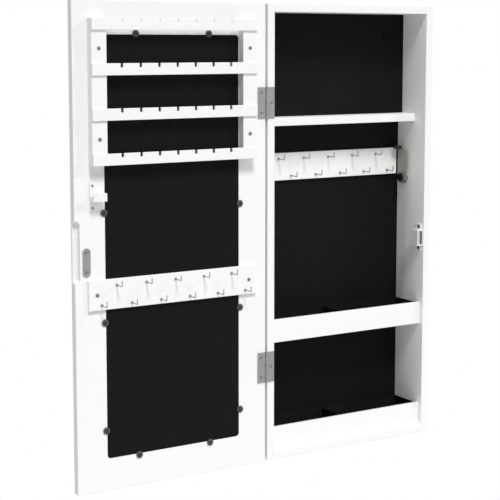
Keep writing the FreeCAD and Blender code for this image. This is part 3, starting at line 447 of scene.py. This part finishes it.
# %% Taking over a node
def takes_over(piece, *nodes):
    """The piece rides with its nodes' body, wears their finish and hides them."""
    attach(piece, body_of[nodes[0]])
    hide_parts(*nodes)
    piece.data.materials.clear()
    piece.data.materials.append(finishes[slot_of[nodes[0]]])
    return piece


print("bodies to ride on:", ", ".join(sorted(set(body_of.values()))))

# %% [markdown]
# ## The boards of the box
# Lacquered fibre board is never knife-sharp: it is sanded before the paint, and the paint rounds it further.
# So each board starts as a block of its exact size, its edges are rounded by 0.7 mm, and only then come the
# cuts that no one paints: the rebate that the back panel lies in, and the hole for the lock.

# %% Boards of the box
BOARD_EDGE, LOCK_HOLE_RADIUS = 0.7 * MM, 6.15 * MM
LOCK_HOLE_START, LOCK_HOLE_END = 0.13, 0.16


def board(node, edge=BOARD_EDGE):
    low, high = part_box(node)
    return soften(block(node + "_board", low, high), edge)


back_low, back_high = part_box("back_panel")
barrel_low, barrel_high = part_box("lock_barrel")
lock_middle = (barrel_low + barrel_high) / 2
for node in ("left_side_panel", "right_side_panel", "top_panel", "bottom_panel"):
    piece = board(node)
    cut_out(piece, block("rebate", back_low, back_high + Vector((0, MM, 0))))
    if node == "right_side_panel":
        cut_out(piece, round_bar("lock_hole", (LOCK_HOLE_START, lock_middle.y, lock_middle.z),
                                 (LOCK_HOLE_END, lock_middle.y, lock_middle.z), LOCK_HOLE_RADIUS))
    takes_over(piece, node)
for node in ("shelf", "middle_tray_front", "bottom_tray_front", "cabinet_hook_board"):
    takes_over(board(node), node)
print("boards of the box are in place")

# %% [markdown]
# ## The hanging rail
# Behind the upper lining lies a plain rail that takes the two wall screws. Its holes are drilled through raw,
# unlacquered board, and a second finish goes on the faces inside them: painted shade, near black, far darker
# than raw board.

# %% Hanging rail with its two drilled holes
WALL_HOLE_RADIUS, WALL_HOLE_PLACE = 2.75 * MM, 100 * MM
# The walls of the holes are painted near black, as painted shade deep inside the holes.
hole_shade_paint = finish("painted_hole_shade", (0.012, 0.011, 0.010), (0.007, 0.0065, 0.006), (0.8, 0.9),
                       fine_relief, 2500, 0.02, 200, Specular_IOR_Level=0.1)
rail = board("hanging_rail")
rail_low, rail_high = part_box("hanging_rail")
for x in (-WALL_HOLE_PLACE, WALL_HOLE_PLACE):
    cut_out(rail, round_bar("wall_hole", (x, rail_low.y - MM, 0), (x, rail_high.y + MM, 0), WALL_HOLE_RADIUS))
takes_over(flatten_shading(rail), "hanging_rail")
rail.data.materials.append(hole_shade_paint)
for face in rail.data.polygons:
    if math.hypot(abs(face.center.x) - WALL_HOLE_PLACE, face.center.z) < WALL_HOLE_RADIUS:
        face.material_index = 1
print("hanging rail has", sum(face.material_index for face in rail.data.polygons), "dark faces")

# %% [markdown]
# ## The trays' linings
# The black linings are thin moulded trays with a flocked face. A block is hollowed as it would be by hand: its
# top face is inset by the wall, and pushed down almost to the bottom. Rounding the edges gives the soft look of
# a vacuum-formed sheet.

# %% Linings and dividers of the trays
LINING_WALL, LINING_EDGE, DIVIDER_EDGE = 1.2 * MM, 0.4 * MM, 0.5 * MM
# A face points a way when its normal lies at least this much along it.
FACING = 0.9


def done_editing():
    bpy.ops.object.mode_set(mode="OBJECT")


def edit_only(piece, kind, wanted):
    """Opens a piece in edit mode with only those faces or edges selected that the test accepts."""
    done_editing()
    alone(piece)
    bpy.ops.object.mode_set(mode="EDIT")
    bpy.ops.mesh.select_mode(type=kind)
    bpy.ops.mesh.select_all(action="DESELECT")
    bpy.ops.object.mode_set(mode="OBJECT")
    if kind == "FACE":
        for face in piece.data.polygons:
            face.select = wanted(face.center, face.normal)
    else:
        for edge in piece.data.edges:
            edge.select = wanted(*(piece.data.vertices[k].co for k in edge.vertices))
    bpy.ops.object.mode_set(mode="EDIT")


def hollow(piece, wall, depth):
    """Insets the top face and pushes it down."""
    edit_only(piece, "FACE", lambda middle, normal: normal.z > FACING)
    bpy.ops.mesh.inset(thickness=wall)
    bpy.ops.mesh.extrude_region_move(TRANSFORM_OT_translate={"value": (0, 0, -depth)})
    done_editing()
    return piece


for tray in ("middle_tray", "bottom_tray"):
    low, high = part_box(f"{tray}_insert")
    lining = hollow(block(f"{tray}_lining", low, high), LINING_WALL, high.z - low.z - LINING_WALL)
    takes_over(soften(lining, LINING_EDGE, 2), f"{tray}_insert")
    takes_over(board(f"{tray}_divider", DIVIDER_EDGE), f"{tray}_divider")
print("trays are lined")

# %% [markdown]
# ## The door frame
# On the inner side of the door a shallow seat holds the backing board and the glass, and a narrower opening
# goes right through for the sight of the mirror. Both come from insets and an extrusion, and the two openings
# are bridged. The seat's four corners are rounded as a router bit leaves them.

# %% Door frame
FRAME_WIDTH, MIRROR_LIP, SEAT_DEPTH, SEAT_CORNER = 45 * MM, 6 * MM, 7 * MM, 5 * MM
CORNER_STEPS = 6
SAME_LINE, SAME_PLACE = 1e-6, 1e-5
door_low, door_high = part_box("door_frame")
door = block("door_frame_boards", door_low, door_high)
edit_only(door, "FACE", lambda middle, normal: normal.y < -FACING)
bpy.ops.mesh.inset(thickness=FRAME_WIDTH)
bpy.ops.mesh.extrude_region_move(TRANSFORM_OT_translate={"value": (0, SEAT_DEPTH, 0)})
bpy.ops.mesh.inset(thickness=MIRROR_LIP)
bpy.ops.mesh.delete(type="FACE")
edit_only(door, "FACE", lambda middle, normal: normal.y > FACING and abs(middle.y - door_high.y) < SAME_LINE)
bpy.ops.mesh.inset(thickness=FRAME_WIDTH + MIRROR_LIP)
bpy.ops.mesh.delete(type="FACE")
bpy.ops.mesh.select_mode(type="EDGE")
bpy.ops.mesh.select_all(action="DESELECT")
bpy.ops.mesh.select_non_manifold()
bpy.ops.mesh.bridge_edge_loops()
done_editing()
seat_sides = (door_low.x + FRAME_WIDTH, door_high.x - FRAME_WIDTH)
seat_ends = (door_low.z + FRAME_WIDTH, door_high.z - FRAME_WIDTH)


def seat_corner(first, second):
    """Whether an edge runs through the board at one of the seat's four corners."""
    through = abs(first.x - second.x) < SAME_LINE and abs(first.z - second.z) < SAME_LINE
    return (through and min(abs(first.x - x) for x in seat_sides) < SAME_PLACE
            and min(abs(first.z - z) for z in seat_ends) < SAME_PLACE)


edit_only(door, "EDGE", seat_corner)
bpy.ops.mesh.bevel(offset=SEAT_CORNER, segments=CORNER_STEPS, affect="EDGES")
done_editing()
print("frame faces:", len(door.data.polygons))

# %% [markdown]
# ### The scoop for the fingertips
# A scoop in the free edge lets fingers pull the door open. It is cut with a block whose ends are rounded and
# whose deep edges are rounded once more, so that the scoop's floor sweeps up in a cove.

# %% Scoop for the fingertips
PULL_LENGTH, PULL_WIDTH, PULL_DEPTH = 84 * MM, 7.5 * MM, 8 * MM
PULL_CORNER, PULL_COVE, PULL_STEPS = 6 * MM, 4.5 * MM, 8
TOOL_REACH, SHORT_EDGE = 12 * MM, 5 * MM
middle_z = (door_low.z + door_high.z) / 2
scoop = block("scoop", (door_low.x - TOOL_REACH, door_low.y - TOOL_REACH, middle_z - PULL_LENGTH / 2),
              (door_low.x + PULL_WIDTH, door_low.y + PULL_DEPTH, middle_z + PULL_LENGTH / 2))
edit_only(scoop, "EDGE", lambda first, second: min(first.x, second.x) > door_low.x
          and abs(first.y - second.y) > SHORT_EDGE)
bpy.ops.mesh.bevel(offset=PULL_CORNER, segments=PULL_STEPS, affect="EDGES")
edit_only(scoop, "EDGE", lambda first, second: min(first.y, second.y) > door_low.y
          and max(first.x, second.x) > door_low.x - TOOL_REACH + MM)
bpy.ops.mesh.bevel(offset=PULL_COVE, segments=PULL_STEPS, affect="EDGES")
done_editing()
cut_out(door, scoop)
takes_over(soften(door, BOARD_EDGE), "door_frame")
print("door frame with its scoop:", len(door.data.polygons), "faces")

# %% [markdown]
# ## Glass and backing
# The mirror is a plate of glass with rounded corners and a ground edge, and behind it lies a thin black board.
# Both are blocks whose four corners are rounded first and whose rims are rounded after.

# %% Mirror glass and backing board
PLATE_CORNER, GLASS_RIM, BACKING_RIM = 4.6 * MM, 0.5 * MM, 0.4 * MM


def rounded_plate(node, rim):
    low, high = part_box(node)
    plate = block(node + "_plate", low, high)
    edit_only(plate, "EDGE", lambda first, second: abs(first.y - second.y) > SAME_LINE)
    bpy.ops.mesh.bevel(offset=PLATE_CORNER, segments=CORNER_STEPS, affect="EDGES")
    done_editing()
    return takes_over(soften(plate, rim, 2), node)


rounded_plate("mirror_glass", GLASS_RIM)
rounded_plate("mirror_backing", BACKING_RIM)
print("glass and backing are in the frame")

# %% [markdown]
# ## The bars of the rack
# Four thin bars hang earrings by their hooks in narrow notches. A bar is a rounded block with seven slots cut
# from its top edge. It is so thin that one sees right through a slot, to the black backing or, at the top bar,
# to the white frame.

# %% Bars of the rack
NOTCHES, NOTCH_WIDTH, NOTCH_DEPTH, NOTCH_PITCH = 7, 4 * MM, 5.5 * MM, 28.1 * MM
RACK_EDGE = 0.5 * MM
bars = [f"rack_bar_{k}" for k in range(1, 5)]
for node in bars:
    low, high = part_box(node)
    bar = board(node, RACK_EDGE)
    middle_x = (low.x + high.x) / 2
    for k in range(NOTCHES):
        x = middle_x + (k - (NOTCHES - 1) / 2) * NOTCH_PITCH
        cut_out(bar, block("notch", (x - NOTCH_WIDTH / 2, low.y - MM, high.z - NOTCH_DEPTH),
                           (x + NOTCH_WIDTH / 2, high.y + MM, high.z + MM)))
    takes_over(flatten_shading(bar), node)
print("rack of", len(bars), "bars with", NOTCHES, "notches each")

# %% [markdown]
# ## Boards with sunk screws
# Two uprights hold the bars off the door, and a board carries the door's hooks. Their screws lie sunk, so each
# board gets a round hole per screw head. Where the screws are is read from the frame: triangles that share
# corners make one solid, and each solid is one screw.

# %% Uprights and the door's hook board
HEAD_RADIUS, HEAD_SIDES, SUNK_DEPTH = 3 * MM, 40, 0.8 * MM
FRONT = Vector((0, -1, 0))
MERGE_DISTANCE = 0.001 * MM


def solids_of(node):
    """The low and high corners of each solid of a node, found from the triangles that share corners."""
    mesh = frame["nodes"][node].data
    key_of = [tuple(round(part / MERGE_DISTANCE) for part in vertex.co) for vertex in mesh.vertices]
    parent = {key: key for key in key_of}

    def root(key):
        while parent[key] != key:
            key = parent[key]
        return key

    for face in mesh.polygons:
        first, *others = (key_of[k] for k in face.vertices)
        for other in others:
            parent[root(other)] = root(first)
    groups = {}
    for key, vertex in zip(key_of, mesh.vertices):
        groups.setdefault(root(key), []).append(vertex.co)
    return sorted((Vector([min(c[k] for c in corners) for k in range(3)]),
                   Vector([max(c[k] for c in corners) for k in range(3)])) for corners in groups.values())


def head_of(low, high, towards):
    """The middle of a screw's head: its solid's middle, at its end on the side of the board's face."""
    middle = (low + high) / 2
    for k in range(3):
        if towards[k]:
            middle[k] = high[k] if towards[k] > 0 else low[k]
    return middle


def sunk_hole(low, high):
    """A tool for the hole in a board's face in which the head of the screw between two corners lies."""
    middle = head_of(low, high, FRONT)
    return round_bar("sunk", middle - FRONT * SUNK_DEPTH, middle + FRONT * MM, HEAD_RADIUS, HEAD_SIDES)


for node in ("rack_left_upright", "rack_right_upright"):
    upright = board(node, RACK_EDGE)
    up_low, up_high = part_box(node)
    for low, high in solids_of("rack_screws"):
        if up_low.x < low.x < up_high.x:
            cut_out(upright, sunk_hole(low, high))
    takes_over(flatten_shading(upright), node)
hook_board = board("door_hook_board")
for low, high in solids_of("door_hook_board_screws"):
    cut_out(hook_board, sunk_hole(low, high))
takes_over(flatten_shading(hook_board), "door_hook_board")
print("sunk holes:", len(solids_of("rack_screws")) + len(solids_of("door_hook_board_screws")))

# %% [markdown]
# ## Screws
# All the screws are of a few kinds, so each kind is modelled once: a cone or a flat disc for the head with its
# rim rounded, a cross cut into it with two thin blocks, and a shank. A sunk head lies a tenth of a millimetre
# below the paint, and a pan head stands on the surface.

# %% One screw of a kind
CROSS_WIDTH, CROSS_LENGTH, CROSS_DEPTH = 0.9 * MM, 3.4 * MM, 0.7 * MM
CONE_HEIGHT, CONE_END_RADIUS, CONE_GAP, HEAD_DROP = 1.5 * MM, 1.3 * MM, 0.05 * MM, 0.1 * MM
PAN_HEIGHT, SUNK_RIM, PAN_RIM, RIM_STEPS = 1.2 * MM, 0.6 * MM, 0.7 * MM, 5
SHANK_RADIUS, SHANK_SIDES, SHANK_START = 1.25 * MM, 16, 0.5 * MM


def join_up(name, pieces):
    """Joins pieces into one."""
    bpy.ops.object.select_all(action="DESELECT")
    for piece in pieces:
        piece.select_set(True)
    bpy.context.view_layer.objects.active = pieces[0]
    bpy.ops.object.join()
    whole = bpy.context.object
    whole.name = whole.data.name = name
    return whole


def screw_kind(name, head_radius, shank_length, sunk):
    """A screw at the origin whose head faces -Y: a countersunk cone, or a pan head in front of the origin."""
    bpy.ops.object.select_all(action="DESELECT")
    if sunk:
        bpy.ops.mesh.primitive_cone_add(vertices=HEAD_SIDES, radius1=head_radius - CONE_GAP,
                                        radius2=CONE_END_RADIUS, depth=CONE_HEIGHT,
                                        location=(0, HEAD_DROP + CONE_HEIGHT / 2, 0),
                                        rotation=(-math.pi / 2, 0, 0))
        head, rim, face = settle(name), SUNK_RIM, HEAD_DROP
    else:
        head = round_bar(name, (0, 0, 0), (0, -PAN_HEIGHT, 0), head_radius, HEAD_SIDES)
        rim, face = PAN_RIM, -PAN_HEIGHT
    edit_only(head, "FACE", lambda middle, normal: normal.y < -FACING)
    bpy.ops.mesh.bevel(offset=rim, segments=RIM_STEPS, affect="EDGES")
    done_editing()
    flatten_shading(head)
    scale = head_radius / HEAD_RADIUS
    half_width, half_length = CROSS_WIDTH * scale / 2, CROSS_LENGTH * scale / 2
    for x, z in ((half_length, half_width), (half_width, half_length)):
        cut_out(head, block("cross", (-x, face - MM, -z), (x, face + CROSS_DEPTH * scale, z)))
    shank = round_bar("shank", (0, SHANK_START, 0), (0, shank_length, 0), SHANK_RADIUS, SHANK_SIDES)
    return join_up(name, [head, shank])


KEEPER_HEAD_RADIUS, PAN_RADIUS = 1.9 * MM, 2.4 * MM
LONG_SHANK, SHORT_SHANK, PAN_SHANK = 9.5 * MM, 7.8 * MM, 8 * MM
sunk_screw = screw_kind("sunk_screw", HEAD_RADIUS, LONG_SHANK, True)
small_screw = screw_kind("small_screw", KEEPER_HEAD_RADIUS, LONG_SHANK, True)
short_screw = screw_kind("short_screw", HEAD_RADIUS, SHORT_SHANK, True)
print("a sunk screw has", len(sunk_screw.data.polygons), "faces")

# %% [markdown]
# ### Copies of the screws
# A copy with a mesh of its own goes wherever the construction has a screw, turned so that its head faces out
# of the board. The screws of the box's hook board are driven from behind, and those of the catch from its side.

# %% Screws in their places
def copied(piece, name, shift):
    """A copy with a mesh of its own, moved in that mesh."""
    twin = piece.copy()
    twin.data = piece.data.copy()
    twin.name = twin.data.name = name
    twin.data.transform(Matrix.Translation(shift))
    bpy.context.scene.collection.objects.link(twin)
    return twin


def screws_for(node, kind, towards=FRONT):
    """Copies of a kind of screw at each solid of a node."""
    turn = FRONT.rotation_difference(Vector(towards)).to_matrix().to_4x4()
    copies = []
    for k, (low, high) in enumerate(solids_of(node)):
        twin = copied(kind, f"{node}_{k}", Vector())
        twin.data.transform(Matrix.Translation(head_of(low, high, towards)) @ turn)
        copies.append(twin)
    return takes_over(join_up(node + "_set", copies), node)


for node in ("hinge_cabinet_screws", "hinge_door_screws", "strike_screws", "rack_screws",
             "door_hook_board_screws"):
    screws_for(node, sunk_screw)
screws_for("keeper_screws", small_screw)
screws_for("cabinet_hook_board_screws", short_screw, (0, 1, 0))
screws_for("catch_screws", sunk_screw, (-1, 0, 0))
pan_screw = screw_kind("pan_screw", PAN_RADIUS, PAN_SHANK, False)
pan_screw.data.transform(Matrix.Translation((0, PAN_HEIGHT, 0)))
screws_for("disc_screws", pan_screw)
for kind in (sunk_screw, small_screw, short_screw, pan_screw):
    bpy.data.objects.remove(kind)
print("screws are in")

# %% [markdown]
# ## Hooks
# A square hook is one wire: a circle is drawn out into the stem, spun through a quarter turn for the bend and
# drawn out again for the riser, whose tip is rounded. A small collar hides where the wire enters the board. The
# boards carry a short row of five hooks above a long row of six.

# %% Hooks
WIRE_RADIUS, WIRE_SIDES, TIP_ROUNDING = 0.8 * MM, 16, 0.45 * MM
HOOK_REACH, HOOK_HEIGHT, HOOK_BEND, HOOK_PITCH = 16.6 * MM, 8 * MM, 2 * MM, 45.2 * MM
COLLAR_RADIUS, COLLAR_THICKNESS, COLLAR_EDGE = 2.2 * MM, 1 * MM, 0.4 * MM
WIRE_SMOOTH_UNDER = 60
ROWS = ((5, 12 * MM), (6, -14.3 * MM))


def make_hook():
    """One hook whose foot is at the origin and whose stem runs to -Y."""
    straight = HOOK_REACH - HOOK_BEND
    bpy.ops.object.select_all(action="DESELECT")
    bpy.ops.mesh.primitive_circle_add(vertices=WIRE_SIDES, radius=WIRE_RADIUS, fill_type="NOTHING",
                                      rotation=(math.pi / 2, 0, 0))
    wire = settle("wire")
    edit_only(wire, "EDGE", lambda first, second: True)
    bpy.ops.mesh.extrude_edges_move(TRANSFORM_OT_translate={"value": (0, -straight, 0)})
    bpy.ops.mesh.spin(steps=8, angle=math.pi / 2, center=(0, -straight, HOOK_BEND), axis=(1, 0, 0))
    bpy.ops.mesh.extrude_edges_move(TRANSFORM_OT_translate={"value": (0, 0, HOOK_HEIGHT - HOOK_BEND)})
    bpy.ops.mesh.edge_face_add()
    bpy.ops.mesh.bevel(offset=TIP_ROUNDING, segments=3, affect="EDGES")
    bpy.ops.mesh.select_all(action="SELECT")
    bpy.ops.mesh.normals_make_consistent(inside=False)
    done_editing()
    flatten_shading(wire, WIRE_SMOOTH_UNDER)
    collar = round_bar("collar", (0, 0, 0), (0, -COLLAR_THICKNESS, 0), COLLAR_RADIUS, 32)
    return join_up("hook", [wire, soften(collar, COLLAR_EDGE)])


hook = make_hook()
for node in ("cabinet_hooks", "door_hooks"):
    low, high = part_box(node.replace("hooks", "hook_board"))
    middle = Vector(((low.x + high.x) / 2, low.y, (low.z + high.z) / 2))
    row_of_hooks = []
    for count, rise in ROWS:
        for k in range(count):
            shift = middle + Vector(((k - (count - 1) / 2) * HOOK_PITCH, 0, rise))
            row_of_hooks.append(copied(hook, f"{node}_{len(row_of_hooks)}", shift))
    takes_over(join_up(node + "_set", row_of_hooks), node)
bpy.data.objects.remove(hook)
print("hooks:", sum(count for count, rise in ROWS), "on each board")

# %% [markdown]
# ## Discs that hold the backing
# Each disc is a thin moulded washer with a generous round on its front rim, and part of it lies over the edge
# of the backing board.

# %% Discs
DISC_EDGE = 0.55 * MM
discs = []
for k, (low, high) in enumerate(solids_of("retaining_discs")):
    middle = (low + high) / 2
    disc = round_bar(f"disc_{k}", (middle.x, high.y, middle.z), (middle.x, low.y, middle.z),
                     (high.x - low.x) / 2)
    discs.append(soften(disc, DISC_EDGE, 4))
takes_over(join_up("disc_set", discs), "retaining_discs")
print("discs:", len(discs))

# %% [markdown]
# ## Hinges, lock and catch
# These small metal and moulded fittings have their whole form in the construction already, down to knuckles and
# bores. What they lack is the soft edge that stamping and moulding leave, and that edge is what catches the
# light. So each is a copy of its node's form whose sharp edges are rounded.

# %% Fittings with softened edges
FLAT_WITHIN = math.radians(1)
LEAF_EDGE, TIP_EDGE = 0.2 * MM, 1.2 * MM
FITTING_EDGES_MM = {"lock_keeper": 0.5, "lock_nut": 0.35, "lock_cam": 0.35, "catch_poles": 0.15,
                    "strike_plate": 0.3, "lock_barrel": 0.3, "lock_washer": 0.2, "catch_housing": 0.4}


def form_of(node):
    """A copy of a node's shape whose loose triangles are merged into whole faces."""
    piece = bpy.data.objects.new(node + "_form", frame["nodes"][node].data.copy())
    bpy.context.scene.collection.objects.link(piece)
    alone(piece)
    bpy.ops.object.mode_set(mode="EDIT")
    bpy.ops.mesh.select_all(action="SELECT")
    bpy.ops.mesh.remove_doubles(threshold=MERGE_DISTANCE)
    bpy.ops.mesh.dissolve_limited(angle_limit=FLAT_WITHIN)
    bpy.ops.mesh.normals_make_consistent(inside=False)
    bpy.ops.object.mode_set(mode="OBJECT")
    return piece


for which in ("upper", "lower"):
    for leaf in ("cabinet_leaf", "door_leaf"):
        takes_over(soften(form_of(f"hinge_{which}_{leaf}"), LEAF_EDGE, 2), f"hinge_{which}_{leaf}")
for node, edge in FITTING_EDGES_MM.items():
    takes_over(soften(form_of(node), edge * MM, 2), node)
low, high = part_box("cam_hook")
takes_over(soften(block("cam_hook_cap", low, high), TIP_EDGE, 5), "cam_hook")
print("fittings are softened:", len(FITTING_EDGES_MM) + 5)

# %% [markdown]
# ## The nut that holds the cam
# The cam sits on the plug's square tail under a round nut. A turned piece like this is a disc with soft edges,
# a stepped ring on its face and a slot across it for the screwdriver. It gets a finish of its own, because in
# the photograph it is darker and glossier than the cam.

# %% Cam nut
NUT_THICKNESS, NUT_EDGE, NUT_SHANK_RADIUS = 3 * MM, 0.25 * MM, 1.5 * MM
RING_WIDTH, RING_DEPTH, STEP_WIDTH, STEP_HEIGHT = 1.5 * MM, 1.2 * MM, 1.0 * MM, 0.8 * MM
SLOT_WIDTH, SLOT_LENGTH, SLOT_DEPTH = 1.0 * MM, 6.4 * MM, 1.3 * MM
low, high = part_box("cam_screw")
lock_y, lock_z = (low.y + high.y) / 2, (low.z + high.z) / 2
nut = round_bar("cam_nut", (low.x + NUT_THICKNESS, lock_y, lock_z), (low.x, lock_y, lock_z),
                (high.z - low.z) / 2)
edit_only(nut, "FACE", lambda middle, normal: normal.x < -FACING)
bpy.ops.mesh.inset(thickness=RING_WIDTH)
bpy.ops.mesh.extrude_region_move(TRANSFORM_OT_translate={"value": (RING_DEPTH, 0, 0)})
bpy.ops.mesh.inset(thickness=STEP_WIDTH)
bpy.ops.mesh.extrude_region_move(TRANSFORM_OT_translate={"value": (-STEP_HEIGHT, 0, 0)})
done_editing()
cut_out(nut, block("slot", (low.x - MM, lock_y - SLOT_WIDTH / 2, lock_z - SLOT_LENGTH / 2),
                   (low.x + SLOT_DEPTH, lock_y + SLOT_WIDTH / 2, lock_z + SLOT_LENGTH / 2)))
shank = round_bar("cam_shank", (low.x + NUT_THICKNESS, lock_y, lock_z), (high.x, lock_y, lock_z),
                  NUT_SHANK_RADIUS, 24)
nut = takes_over(soften(join_up("cam_nut", [nut, shank]), NUT_EDGE, 2), "cam_screw")
nut.data.materials[0] = finish("oiled_nut", (0.16, 0.16, 0.15), (0.1, 0.1, 0.095), (0.18, 0.28),
                               fine_relief, 2500, 0.003, 300, Metallic=1.0)
print("cam nut is on")
